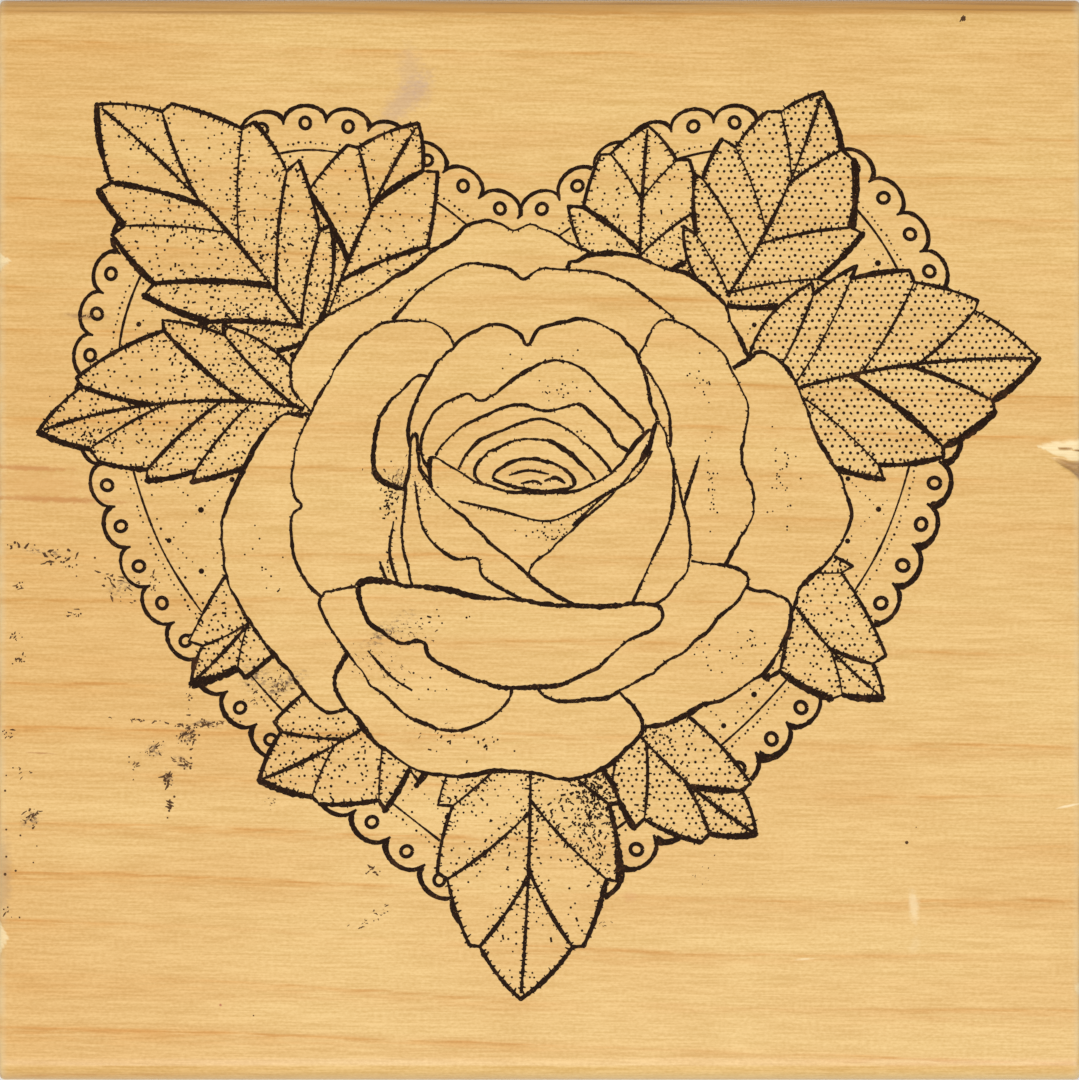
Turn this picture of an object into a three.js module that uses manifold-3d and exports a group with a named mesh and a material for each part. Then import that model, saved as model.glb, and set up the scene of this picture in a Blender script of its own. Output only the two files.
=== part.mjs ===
// A wood-mounted rubber stamp in millimetres, +Z up.
// It is a glued stack: a moulded maple block, a foam cushion and a trimmed rubber die whose raised
// design, a rose on leaves and a heart-shaped doily, prints what the block's top shows.
// The origin is the middle of the printing face. +X runs along the wood's grain, and +Y points to
// the top of the design. Seen from above, the die's ridges lie where the print will lie.
import * as THREE from "three";
import { mergeVertices } from "three/addons/utils/BufferGeometryUtils.js";
import Module from "manifold-3d";

// Driving dimensions of the stack, from the printing face up.
const DIE_THICKNESS = 2.4;
const RELIEF_HEIGHT = 1.3;
const FILM_THICKNESS = 0.1;
const CUSHION_THICKNESS = 3.2;
const BLOCK_HEIGHT = 19;
const BLOCK_LENGTH = 92; // along the grain
const BLOCK_DEPTH = 92; // across the grain

// The moulding that runs along the block's two long-grain sides.
const FOOT_EASE = 0.8; // radius at the lower edge
const FOOT_HEIGHT = 4.6; // flat side below the finger groove
const GROOVE_WIDTH = 9;
const GROOVE_DEPTH = 3;
const CROWN_RUN = 1.4; // how far the upper edge is rounded over, inwards
const CROWN_DROP = 1.9; // and downwards
const END_EASE = 0.4; // sanded edge round each sawn end

// The die and what lies under it share one trimmed outline; the soft layers are cut a little smaller.
const FILM_INSET = 0.5;
const CUSHION_INSET = 0.25;
const OUTLINE_POINTS = 96;

// The raised lines.
const RIDGE_WIDTH = 0.9;
const RIDGE_ROOT = 0.2; // how far a ridge runs into the die's web
const RIB_WIDTH = 0.8;

const dieTop = DIE_THICKNESS;
const cushionBottom = dieTop + FILM_THICKNESS;
const cushionTop = cushionBottom + CUSHION_THICKNESS;
const blockBottom = cushionTop + FILM_THICKNESS;

// The die's outline, trimmed by hand about 2 mm outside the design, clockwise from the heart's notch.
const TRIM_LINE = [
  [-1.5, 31.5], [4, 34], [9, 38], [16, 38.6], [24.6, 40.4], [29.2, 34], [34.6, 29.4], [37.6, 22.6],
  [44.6, 16.2], [42, 8], [38.6, 1], [33.6, -6.4], [31.6, -15.2], [25, -19], [20.6, -27.2], [10.6, -28.4],
  [5.6, -33.6], [-1.4, -41.6], [-8, -34.4], [-15.2, -28.4], [-24.6, -22.6], [-31.6, -14.2], [-35.6, -6.6],
  [-39.8, 1.4], [-44.8, 9], [-42.4, 18.6], [-40.2, 27.4], [-40, 38.8], [-31, 38.2], [-20, 38.6], [-9.6, 38],
];

// The doily's heart, one half from the notch down to the tip, measured from the heart's own middle.
const HEART_MIDDLE = -1.6;
const HEART_HALF = [
  [0, 27.6], [5.6, 31], [12, 34.8], [19.4, 35.8], [27, 33], [33, 26.8], [36.6, 18.2], [36.4, 9],
  [33.4, -1], [28.4, -9], [21.6, -17], [14, -23.4], [7.2, -28.8], [0, -34.8],
];
const HEART_POINTS = 84;
const INNER_LINE_INSET = 3;

// Each leaf: base, tip and half width, from the back to the front.
const LEAVES = [
  { base: [-19.5, 1], tip: [-29.6, -12.2], halfWidth: 4.6 },
  { base: [-18.5, 17.5], tip: [-10.3, 35.4], halfWidth: 6 },
  { base: [-19.5, 17], tip: [-37.6, 37], halfWidth: 7.6 },
  { base: [-19, 11], tip: [-42.6, 9.2], halfWidth: 6.6 },
  { base: [8.5, 20], tip: [9.2, 35.2], halfWidth: 6 },
  { base: [15.5, 20], tip: [24, 38], halfWidth: 7 },
  { base: [17.5, 11.5], tip: [42.4, 15.4], halfWidth: 7.6 },
  { base: [19, -1], tip: [29.2, -13.4], halfWidth: 5.2 },
  { base: [-10.5, -10], tip: [-23.6, -20.4], halfWidth: 5.4 },
  { base: [6, -13.5], tip: [18.4, -25], halfWidth: 5.2 },
  { base: [-0.8, -15], tip: [-1.6, -39], halfWidth: 7.2 },
];
const LEAF_STEPS = 9; // points along each edge of a leaf
const LEAF_BELLY = 0.42; // where along its length a leaf is widest

// Each petal's outline, from the back to the front.
const PETALS = [
  [[-20.5, 12], [-14, 21.2], [-5.2, 27], [2, 25.4], [5, 22.6], [-4, 8]],
  [[2.4, 22], [6.4, 24.4], [13, 22.2], [17, 17], [22.5, 9], [6, 8]],
  [[18.2, 15.8], [23.4, 9.2], [26.4, 1.4], [22.4, -4], [19.6, -8.4], [10, 2]],
  [[-20, 10.6], [-26.2, 3.4], [-25.6, -5.6], [-17.2, -14.6], [-10, -2]],
  [[20.4, -4.8], [18.6, -11.6], [8.6, -16], [-2.6, -14.4], [6, -5]],
  [[-17.2, -11.4], [-8, -20], [3.4, -20.2], [8.2, -14.6], [-4, -7]],
  [[-13, 15], [-7.4, 23], [0.4, 22.9], [8.8, 20.9], [13.4, 12], [0, 6]],
  [[-7.6, 17.2], [-15.6, 16.9], [-21, 4], [-18.4, -4.8], [-8, -8], [-5, 4]],
  [[9.6, 17.8], [15.6, 15.6], [18.2, 3.2], [13.6, -4.6], [5, -6], [6, 6]],
  [[-10.6, 7], [-7.2, 16.6], [4.4, 18.6], [9.6, 8.6], [4.4, -6.4], [-9.4, -5.6]],
  [[-8.8, 5.4], [-4.2, 10.8], [3.6, 11.4], [7.6, 6], [-0.5, 1]],
  [[-15.4, -4], [-2, -5.2], [10.4, -6.4], [4.6, -11], [-4.4, -12.3], [-11.8, -8.7]],
];
const PETAL_POINTS = 22;

const wasm = await Module();
wasm.setup();

// A closed mesh geometry as a manifold-3d solid, and back.
function solidFrom(geometry) {
  const bare = geometry.clone();
  bare.deleteAttribute("normal");
  bare.deleteAttribute("uv");
  const merged = mergeVertices(bare, 1e-4);
  return new wasm.Manifold(
    new wasm.Mesh({
      numProp: 3,
      vertProperties: merged.attributes.position.array,
      triVerts: new Uint32Array(merged.index.array),
    }),
  );
}

function geometryFrom(solid) {
  const mesh = solid.getMesh();
  const geometry = new THREE.BufferGeometry();
  geometry.setAttribute("position", new THREE.BufferAttribute(mesh.vertProperties, 3));
  geometry.setIndex(new THREE.BufferAttribute(mesh.triVerts, 1));
  geometry.computeVertexNormals();
  return geometry;
}

// A smooth closed line through a few points, as a list of plane points.
function smoothLoop(points, count) {
  const control = points.map(([x, y]) => new THREE.Vector3(x, y, 0));
  const curve = new THREE.CatmullRomCurve3(control, true, "centripetal");
  return curve.getPoints(count).slice(0, count).map((p) => new THREE.Vector2(p.x, p.y));
}

function middleOf(loop) {
  const sum = loop.reduce((total, p) => total.add(p), new THREE.Vector2());
  return sum.divideScalar(loop.length);
}

// The loop with every point moved towards its middle by a distance.
function shrunk(loop, distance) {
  const middle = middleOf(loop);
  return loop.map((p) => {
    const reach = p.distanceTo(middle);
    return p.clone().sub(middle).multiplyScalar((reach - distance) / reach).add(middle);
  });
}

function slab(loop, bottom, top) {
  const geometry = new THREE.ExtrudeGeometry(new THREE.Shape(loop), {
    depth: top - bottom,
    bevelEnabled: false,
  });
  return geometry.translate(0, 0, bottom);
}

// The block's section across the grain: x across, y up from its underside.
function blockSection() {
  const half = BLOCK_DEPTH / 2;
  const grooveBottom = FOOT_HEIGHT;
  const grooveTop = FOOT_HEIGHT + GROOVE_WIDTH;
  const grooveMiddle = (grooveBottom + grooveTop) / 2;
  const grooveRadius = (GROOVE_WIDTH ** 2 / 4 + GROOVE_DEPTH ** 2) / (2 * GROOVE_DEPTH);
  const grooveSwing = Math.asin(GROOVE_WIDTH / 2 / grooveRadius);
  const grooveAxis = half - GROOVE_DEPTH + grooveRadius;
  const shape = new THREE.Shape();
  shape.moveTo(-half + FOOT_EASE, 0);
  shape.lineTo(half - FOOT_EASE, 0);
  shape.absarc(half - FOOT_EASE, FOOT_EASE, FOOT_EASE, -Math.PI / 2, 0, false);
  shape.lineTo(half, grooveBottom);
  shape.absarc(grooveAxis, grooveMiddle, grooveRadius, Math.PI + grooveSwing, Math.PI - grooveSwing, true);
  shape.lineTo(half, BLOCK_HEIGHT - CROWN_DROP);
  shape.quadraticCurveTo(half, BLOCK_HEIGHT - CROWN_DROP / 3, half - CROWN_RUN, BLOCK_HEIGHT);
  shape.lineTo(-half + CROWN_RUN, BLOCK_HEIGHT);
  shape.quadraticCurveTo(-half, BLOCK_HEIGHT - CROWN_DROP / 3, -half, BLOCK_HEIGHT - CROWN_DROP);
  shape.lineTo(-half, grooveTop);
  shape.absarc(-grooveAxis, grooveMiddle, grooveRadius, grooveSwing, -grooveSwing, true);
  shape.lineTo(-half, FOOT_EASE);
  shape.absarc(-half + FOOT_EASE, FOOT_EASE, FOOT_EASE, Math.PI, (3 * Math.PI) / 2, false);
  return shape;
}

function blockGeometry() {
  const geometry = new THREE.ExtrudeGeometry(blockSection(), {
    depth: BLOCK_LENGTH - 2 * END_EASE,
    curveSegments: 10,
    bevelEnabled: true,
    bevelThickness: END_EASE,
    bevelSize: END_EASE,
    bevelOffset: -END_EASE,
    bevelSegments: 2,
  });
  geometry.translate(0, 0, END_EASE - BLOCK_LENGTH / 2);
  return geometry.rotateX(Math.PI / 2).rotateZ(Math.PI / 2); // the extrusion's length becomes +X
}

// The heart's outline, the drawn half and its mirror image, at an inset.
function heartLoop(inset) {
  const mirrored = HEART_HALF.slice(1, -1).reverse().map(([x, y]) => [-x, y]);
  const points = [...HEART_HALF, ...mirrored].map(([x, y]) => [x + HEART_MIDDLE, y]);
  return shrunk(smoothLoop(points, HEART_POINTS), inset);
}

// A leaf's outline: widest at its belly, drawn out to a point, and narrower by an inset.
function leafLoop({ base, tip, halfWidth }, inset) {
  const start = new THREE.Vector2(...base);
  const along = new THREE.Vector2(...tip).sub(start);
  const across = new THREE.Vector2(-along.y, along.x).normalize();
  const rise = LEAF_BELLY / (1 - LEAF_BELLY);
  const peak = LEAF_BELLY ** rise * (1 - LEAF_BELLY);
  const shorten = (2 * inset) / along.length();
  const edge = (side, steps) =>
    steps.map((step) => {
      const share = shorten + (step / LEAF_STEPS) * (1 - 2 * shorten);
      const offset = ((halfWidth - inset) * share ** rise * (1 - share)) / peak;
      return start.clone().addScaledVector(along, share).addScaledVector(across, side * Math.max(offset, 0.05));
    });
  const steps = Array.from({ length: LEAF_STEPS + 1 }, (_, i) => i);
  return [...edge(1, steps), ...edge(-1, steps.slice().reverse())];
}

// A straight rib along a leaf.
function ribLoop({ base, tip }) {
  const start = new THREE.Vector2(...base);
  const end = new THREE.Vector2(...tip);
  const across = new THREE.Vector2(start.y - end.y, end.x - start.x).setLength(RIB_WIDTH / 2);
  const near = start.clone().lerp(end, 0.05);
  const far = start.clone().lerp(end, 0.9);
  return [near.clone().add(across), far.clone().add(across), far.sub(across), near.sub(across)];
}

// The raised design: each shape wipes out what lies behind it, and then adds its own edge.
function reliefSolid() {
  const prism = (loop) => solidFrom(slab(loop, 0, RELIEF_HEIGHT + RIDGE_ROOT));
  const edge = (outer, inner) => prism(outer).subtract(prism(inner));
  let relief = edge(heartLoop(0), heartLoop(RIDGE_WIDTH));
  relief = relief.add(edge(heartLoop(INNER_LINE_INSET), heartLoop(INNER_LINE_INSET + RIDGE_WIDTH)));
  for (const leaf of LEAVES) {
    const outline = leafLoop(leaf, 0);
    relief = relief.subtract(prism(outline)).add(edge(outline, leafLoop(leaf, RIDGE_WIDTH)));
    relief = relief.add(prism(ribLoop(leaf)));
  }
  for (const petal of PETALS) {
    const outline = smoothLoop(petal, PETAL_POINTS);
    relief = relief.subtract(prism(outline)).add(edge(outline, shrunk(outline, RIDGE_WIDTH)));
  }
  return relief;
}

function dieGeometry(trim) {
  const web = solidFrom(slab(trim, RELIEF_HEIGHT, DIE_THICKNESS));
  return geometryFrom(web.add(reliefSolid()));
}

// Materials.
const maple = new THREE.MeshStandardMaterial({ color: 0xebc07d, roughness: 0.45, metalness: 0 });
const foam = new THREE.MeshStandardMaterial({ color: 0xb9b6ae, roughness: 0.95, metalness: 0 });
const rubber = new THREE.MeshStandardMaterial({ color: 0x9c3b34, roughness: 0.7, metalness: 0 });
const adhesive = new THREE.MeshStandardMaterial({ color: 0xd8c9a0, roughness: 0.35, metalness: 0 });

const stamp = new THREE.Group();

function addPart(name, geometry, material, height = 0) {
  const mesh = new THREE.Mesh(geometry, material);
  mesh.name = name;
  mesh.position.z = height;
  stamp.add(mesh);
}

const trim = smoothLoop(TRIM_LINE, OUTLINE_POINTS);
const filmTrim = shrunk(trim, FILM_INSET);
const cushionTrim = shrunk(trim, CUSHION_INSET);

addPart("rubber_die", dieGeometry(trim), rubber);
addPart("die_adhesive_film", slab(filmTrim, 0, FILM_THICKNESS), adhesive, dieTop);
addPart("foam_cushion", slab(cushionTrim, 0, CUSHION_THICKNESS), foam, cushionBottom);
addPart("block_adhesive_film", slab(filmTrim, 0, FILM_THICKNESS), adhesive, cushionTop);
addPart("wood_block", blockGeometry(), maple, blockBottom);

export default stamp;
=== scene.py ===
"""A wood-mounted rubber stamp, seen from above: a lacquered maple block with the stamp's design printed
on its top as an index, over a foam cushion and a red rubber die that carries the same design in relief.

Shapes are in millimetres up to mesh_piece(), which turns them into the frame's metres; the studio is in
metres. The drawing is made once, as inked lines and dots on a plane, and is used twice: as thin ink on
the block's top and as raised ridges under the die.
"""

import math

import bpy
import numpy as np
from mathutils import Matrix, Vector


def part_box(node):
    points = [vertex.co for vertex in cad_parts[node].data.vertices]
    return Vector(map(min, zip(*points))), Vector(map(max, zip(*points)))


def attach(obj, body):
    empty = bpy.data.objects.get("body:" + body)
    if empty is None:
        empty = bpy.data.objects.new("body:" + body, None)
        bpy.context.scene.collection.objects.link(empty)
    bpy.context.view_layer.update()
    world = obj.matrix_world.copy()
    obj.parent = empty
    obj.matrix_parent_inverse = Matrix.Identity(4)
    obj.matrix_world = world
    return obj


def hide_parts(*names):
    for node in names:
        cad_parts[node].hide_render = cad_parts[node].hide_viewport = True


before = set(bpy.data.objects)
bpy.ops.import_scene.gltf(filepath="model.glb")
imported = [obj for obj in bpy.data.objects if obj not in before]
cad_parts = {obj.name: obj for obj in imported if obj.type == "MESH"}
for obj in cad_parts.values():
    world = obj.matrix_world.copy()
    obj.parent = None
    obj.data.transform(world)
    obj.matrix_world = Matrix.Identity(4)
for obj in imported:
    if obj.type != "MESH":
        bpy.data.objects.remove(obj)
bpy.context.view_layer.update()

MM = 0.001
draws = np.random.default_rng(7)


def box_mm(node):
    """A CAD node's lowest and highest corners in millimetres."""
    low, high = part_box(node)
    return np.array(low) / MM, np.array(high) / MM


BLOCK_LOW, BLOCK_HIGH = box_mm("wood_block")
DIE_LOW, DIE_HIGH = box_mm("rubber_die")
TOP = BLOCK_HIGH[2]

# ---------- plane geometry, in millimetres
STEP = 0.2  # distance between the sections of a drawn line
NO_LENGTH = 1e-12  # keeps a vector without length from dividing by zero
NO_RISE = 1e-15  # the same for a level edge


def unit(vectors):
    return vectors / (np.linalg.norm(vectors, axis=-1, keepdims=True) + NO_LENGTH)


def spline(points, closed=False, step=STEP):
    """A Catmull-Rom line through the points."""
    p = np.array(points, float)
    p = np.vstack([p[-1:], p, p[:2]]) if closed else np.vstack([2 * p[0] - p[1], p, 2 * p[-1] - p[-2]])
    line = []
    for a, b, c, d in zip(p, p[1:], p[2:], p[3:]):
        t = np.linspace(0, 1, max(2, int(np.linalg.norm(c - b) / step)), endpoint=False)[:, None]
        curve = (c - a) * t + (2 * a - 5 * b + 4 * c - d) * t**2 + (3 * b - a - 3 * c + d) * t**3
        line.append(b + 0.5 * curve)
    return np.vstack(line + [p[-2:-1]])


def resample(line, step=STEP):
    """The same line with its points a step apart."""
    run = np.concatenate([[0], np.cumsum(np.linalg.norm(np.diff(line, axis=0), axis=1))])
    at = np.linspace(0, run[-1], max(2, int(round(run[-1] / step)) + 1))
    return np.stack([np.interp(at, run, line[:, axis]) for axis in (0, 1)], axis=1)


def sideways(line):
    """The unit normal to the left of each point of a line."""
    along = unit(np.gradient(line, axis=0))
    return np.stack([-along[:, 1], along[:, 0]], axis=1)


def inside(outline, points):
    """Which of the points lie inside a closed outline."""
    a, b = outline, np.roll(outline, -1, axis=0)
    x, y = points[:, 0:1], points[:, 1:2]
    spans = (a[:, 1] > y) != (b[:, 1] > y)
    crossing = a[:, 0] + (b[:, 0] - a[:, 0]) * (y - a[:, 1]) / (b[:, 1] - a[:, 1] + NO_RISE)
    return np.sum(spans & (x < crossing), axis=1) % 2 == 1


def wander(count, waves, size):
    """Smooth random offsets, like a hand's unsteadiness: count values of about the given size."""
    knots = draws.normal(0, size, max(2, waves) + 1)
    return np.interp(np.linspace(0, len(knots) - 1, count), np.arange(len(knots)), knots)


FADE = 0.9  # the length over which a line narrows at an end
THINNEST = 0.13
FINE_ROUGHNESS, SLOW_ROUGHNESS = 0.7, 0.9  # how much of a line's roughness is grain, and how much swell
THORN_STEP = 0.1
RING_POINTS = 17


class Layer:
    """One shape of the drawing. It hides what lies behind its outline, and holds lines and dots."""

    def __init__(self, name, outline=None):
        self.name = name
        self.outline = outline
        self.lines = []
        self.dots = []

    def stroke(self, line, width, ends=(0.5, 0.5), rough=0.12, swell=None):
        """An inked line; ends is the share of the width left at each end."""
        line = resample(np.asarray(line, float))
        count = len(line)
        t = np.linspace(0, 1, count)
        widths = np.full(count, float(width)) if swell is None else width * swell(t)
        fade = FADE / (STEP * count)
        widths *= ends[0] + (1 - ends[0]) * np.clip(t / fade, 0, 1)
        widths *= ends[1] + (1 - ends[1]) * np.clip((1 - t) / fade, 0, 1)
        grain = rough * draws.normal(0, 1, count) * FINE_ROUGHNESS
        widths *= 1 + grain + wander(count, count // 9, rough * SLOW_ROUGHNESS)
        self.lines.append((line, np.maximum(widths, THINNEST)))

    def thorns(self, line, side, gaps=(0.3, 0.95), reach=(0.2, 0.42), width=0.21):
        """Short thorns along one side of a line, as an engraver roughens an edge."""
        line = resample(line, THORN_STEP)
        out = sideways(line) * side
        along = unit(np.gradient(line, axis=0))
        at = draws.uniform(0.2, 0.8)
        while at < THORN_STEP * len(line) - 0.3:
            i = int(at / THORN_STEP)
            lean = out[i] + along[i] * draws.uniform(-0.4, 0.4)
            root = width * draws.uniform(0.75, 1.35)
            thorn = np.array([line[i], line[i] + lean * draws.uniform(*reach)])
            self.lines.append((thorn, np.array([root, 0.4 * root])))
            at += draws.uniform(*gaps)

    def dash(self, x, y, reach, width=0.14):
        turn = draws.uniform(0, math.pi)
        half = reach / 2 * np.array([math.cos(turn), math.sin(turn)])
        self.lines.append((np.array([(x, y) - half, (x, y) + half]), width * draws.uniform(0.8, 1.2, 2)))

    def dot(self, x, y, radius):
        self.dots.append((x, y, radius))

    def ring(self, x, y, radius, width):
        turn = np.linspace(0, 2 * math.pi, RING_POINTS)
        wobble = 1 + 0.05 * np.sin(turn * 2 + draws.uniform(0, 6))
        across, up = radius * np.cos(turn) * wobble, radius * np.sin(turn) * wobble
        circle = np.stack([x + across, y + up], axis=1)
        self.lines.append((circle, np.full(RING_POINTS, width)))


# ---------- the doily
HEART_MIDDLE = -1.6
HEART_HALF = [
    (0, 27.6), (5.6, 31), (12, 34.8), (19.4, 35.8), (27, 33), (33, 26.8), (36.6, 18.2), (36.4, 9),
    (33.4, -1), (28.4, -9), (21.6, -17), (14, -23.4), (7.2, -28.8), (0, -34.8),
]
SCALLOPS = 62
SCALLOP_RISE = 1.15
INNER_LINE_INSET = 2.75
# Rows of dots beside the inner line: inset, distance between dots, share of dots kept.
DOTTED_ROWS = ((2.15, 0.5, 0.9), (3.3, 0.9, 0.5))
NET_INSET = 3.4
NET_PITCH = 3.7  # between the knots of the doily's net
NET_PARTS = 7  # steps from knot to knot
NET_REACH = 60


def heart(inset, step=STEP):
    """The doily's heart at an inset, from the notch and back to it."""
    mirrored = [(-x, y) for x, y in HEART_HALF[-2:0:-1]]
    line = resample(spline(HEART_HALF + mirrored, closed=True, step=0.1), 0.1)
    line = line + sideways(line) * -inset
    return resample(line + [HEART_MIDDLE, 0], step)


def scallops(layer):
    """The doily's edge: an arch, a hook and a ring for each scallop, heavier towards the lower right."""
    rim = heart(0, 0.05)
    stops = np.linspace(0, len(rim) - 1, SCALLOPS + 1).astype(int)
    t = np.linspace(0, 1, 15)[:, None]
    bulge = SCALLOP_RISE * (1 - (2 * t - 1) ** 2) ** 0.62
    for start, end in zip(rim[stops[:-1]], rim[stops[1:]]):
        along = unit(end - start)
        out = np.array([-along[1], along[0]])
        shade = max(0.0, out[0] * 0.6 - out[1] * 0.8)
        arch = start + (end - start) * t + out * bulge
        layer.stroke(arch, 0.34 + 0.1 * shade, ends=(0.8, 1.1), rough=0.14,
                     swell=lambda t, s=shade: 1 + (0.2 + 0.55 * s) * t**3)
        hook = [end + out * 0.1, end - out * 0.42 - along * 0.12]
        layer.stroke(hook, 0.42 + 0.08 * shade, ends=(1, 0.4), rough=0)
        middle = (start + end) / 2 - out * 0.28 + draws.normal(0, 0.05, 2)
        layer.ring(*middle, 0.47 + 0.03 * shade, 0.32 + 0.03 * shade)


def net(layer):
    """The doily's net: two slanting sets of dotted threads, with a knot where they cross."""
    edge = heart(NET_INSET)
    slant = np.array([[1, 1], [1, -1]]) * NET_PITCH / NET_PARTS / math.sqrt(2)
    reach = NET_PARTS * int(NET_REACH / NET_PITCH)
    along = np.arange(-reach, reach)
    knots = along % NET_PARTS == 0
    for row in range(-reach, reach, NET_PARTS):
        there = np.full(len(along), row)
        one_way, other_way = np.stack([along, there], 1), np.stack([there, along], 1)[~knots]
        for steps, knotted in ((one_way, knots), (other_way, np.zeros(len(other_way), bool))):
            points = steps @ slant + draws.normal(0, 0.05, steps.shape)
            for (x, y), held, knot in zip(points, inside(edge, points), knotted):
                if held and knot:
                    layer.dot(x, y, draws.uniform(0.2, 0.28))
                elif held and draws.random() < 0.75:
                    layer.dot(x, y, draws.uniform(0.05, 0.09))


def doily():
    layer = Layer("doily")
    scallops(layer)
    layer.stroke(heart(INNER_LINE_INSET), 0.19, ends=(1, 1), rough=0.2)
    for inset, gap, kept in DOTTED_ROWS:
        for x, y in heart(inset, gap):
            if draws.random() < kept:
                x, y = x + draws.normal(0, 0.06), y + draws.normal(0, 0.06)
                layer.dot(x, y, draws.uniform(0.07, 0.125))
    net(layer)
    return layer


# ---------- the leaves
# Base, tip, half width, bend of the midrib, teeth left and right of it, heavy side, and the share of dots
# left at the tip. They are listed from the back to the front.
LEAVES = {
    "lower_left_small": ((-19.5, 1.0), (-29.6, -12.2), 4.6, 0.8, (2, 2), 1, 0.5),
    "top_left_inner": ((-18.5, 17.5), (-10.3, 35.4), 6.4, 0.6, (3, 3), 0, 0.2),
    "upper_left": ((-19.5, 17.0), (-37.6, 37.0), 8.0, -1.0, (4, 4), 1, 0.25),
    "left": ((-19.0, 11.0), (-42.6, 9.2), 6.5, -1.6, (4, 3), 1, 0.5),
    "top_right_inner": ((8.5, 20.0), (9.2, 35.2), 5.9, 0.2, (3, 3), 0, 0.3),
    "upper_right": ((15.5, 20.0), (24.0, 38.0), 7.0, -0.8, (4, 3), -1, 0.9),
    "right": ((17.5, 11.5), (42.4, 15.4), 8.4, 1.2, (4, 4), -1, 0.95),
    "lower_right_small": ((19.0, -1.0), (29.2, -13.4), 5.4, -0.9, (2, 3), -1, 0.6),
    "lower_left": ((-9.2, -11.6), (-23.8, -20.4), 6.3, 0.8, (3, 2), 1, 0.45),
    "lower_right": ((6.0, -13.5), (18.4, -25.0), 5.4, -0.8, (2, 3), -1, 0.7),
    "bottom": ((-0.8, -15.0), (-1.6, -39.0), 7.6, 0.3, (3, 3), 1, 0.15),
}
BELLY = 0.42  # where along its length a leaf is widest
TAPER = 0.95  # how evenly a leaf narrows to its tip
VEIN_WIDTHS = [0.18, 0.24, 0.3, 0.46]


class Midrib:
    """A leaf's own directions: the share of the way from its base to its tip, and the offset across."""

    def __init__(self, base, tip, half_width, bend):
        self.base, self.tip = np.array(base), np.array(tip)
        self.half_width, self.bend = half_width, bend
        self.length = np.linalg.norm(self.tip - self.base)
        self.along = (self.tip - self.base) / self.length
        self.across = np.array([-self.along[1], self.along[0]])

    def place(self, share, offset):
        share = np.asarray(share, float)[..., None]
        offset = np.asarray(offset, float)[..., None]
        sideways_by = offset + self.bend * 4 * share * (1 - share)
        return self.base + self.along * self.length * share + self.across * sideways_by

    def reach(self, share):
        """The leaf's half width there."""
        rise = TAPER * BELLY / (1 - BELLY)
        peak = BELLY**rise * (1 - BELLY) ** TAPER
        return self.half_width * share**rise * (1 - share) ** TAPER / peak


def bowed(start, end, bow, side):
    """A line that bows out to one side on its way."""
    t = np.linspace(0, 1, 12)[:, None]
    out = sideways(np.array([start, end]))[0] * side
    return start + (end - start) * t + out * bow * 4 * t * (1 - t)


def toothed_edge(rib, side, count):
    """One edge of a leaf from base to tip, in runs, and the side, share and end of each tooth's vein."""
    shares = np.linspace(0.4 - 0.04 * count, 0.8, count) + draws.uniform(-0.03, 0.03, count)
    at, runs, veins = rib.place(0.0, 0.0), [], []
    for number, share in enumerate(shares):
        reach = rib.reach(share) * draws.uniform(1.04, 1.14)
        point = rib.place(share + draws.uniform(0.0, 0.025), side * reach)
        bow = (0.15 if number == 0 else 0.04) * np.linalg.norm(point - at)
        runs.append(bowed(at, point, bow * draws.uniform(0.6, 1.2), side))
        step = min(draws.uniform(0.8, 1.4), 0.24 * rib.half_width)
        at = rib.place(share + draws.uniform(-0.005, 0.03), side * (reach - step))
        runs.append(np.array([point, at]))
        veins.append((side, share, at))
    runs.append(bowed(at, rib.tip, 0.05 * np.linalg.norm(rib.tip - at), side))
    return runs, veins


def ink_edge(layer, runs, side, heavy):
    for run in runs:
        long = len(run) > 2
        weight = draws.uniform(0.38, 0.66) if heavy and long else draws.uniform(0.25, 0.38)
        layer.stroke(run, weight, ends=(draws.uniform(0.6, 1), 1), rough=0.2)
        layer.dot(*run[-1], 0.43 * weight)
        if long:
            layer.thorns(run, -side, gaps=(0.35, 1.1), reach=(0.3, 0.52))
            layer.thorns(run, side, gaps=(0.8, 2.4), reach=(0.24, 0.36))


def ink_ribs(layer, rib, veins):
    """Draws the midrib and the veins, and returns their points."""
    middle = rib.place(np.linspace(0.04, 0.98, 40), np.zeros(40))
    layer.stroke(middle, 0.3, ends=(1.4, 0.8), rough=0.22)
    for side in (1, -1):
        layer.thorns(middle, side)
    drawn = [middle]
    for side, share, end in veins:
        start = rib.place(max(0.05, share - draws.uniform(0.2, 0.27)), 0)
        vein = bowed(start, end, 0.03 * np.linalg.norm(end - start), -side)
        layer.stroke(vein, draws.choice(VEIN_WIDTHS), ends=(1.0, 0.7), rough=0.2)
        layer.thorns(vein, 1)
        layer.thorns(vein, -1, gaps=(0.4, 1.8))
        drawn.append(vein)
    return np.vstack(drawn)


def leaf(name, base, tip, half_width, bend, teeth, heavy, at_tip):
    rib = Midrib(base, tip, half_width, bend)
    left, left_veins = toothed_edge(rib, 1, teeth[0])
    right, right_veins = toothed_edge(rib, -1, teeth[1])
    layer = Layer("leaf_" + name, np.vstack([np.vstack(left), np.vstack(right)[::-1]]))
    for side, runs in ((1, left), (-1, right)):
        ink_edge(layer, runs, side, heavy == side)
    ribs = ink_ribs(layer, rib, left_veins + right_veins)
    stipple(layer, rib, at_tip, ribs)
    add_shade(layer, name)
    return layer


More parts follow.
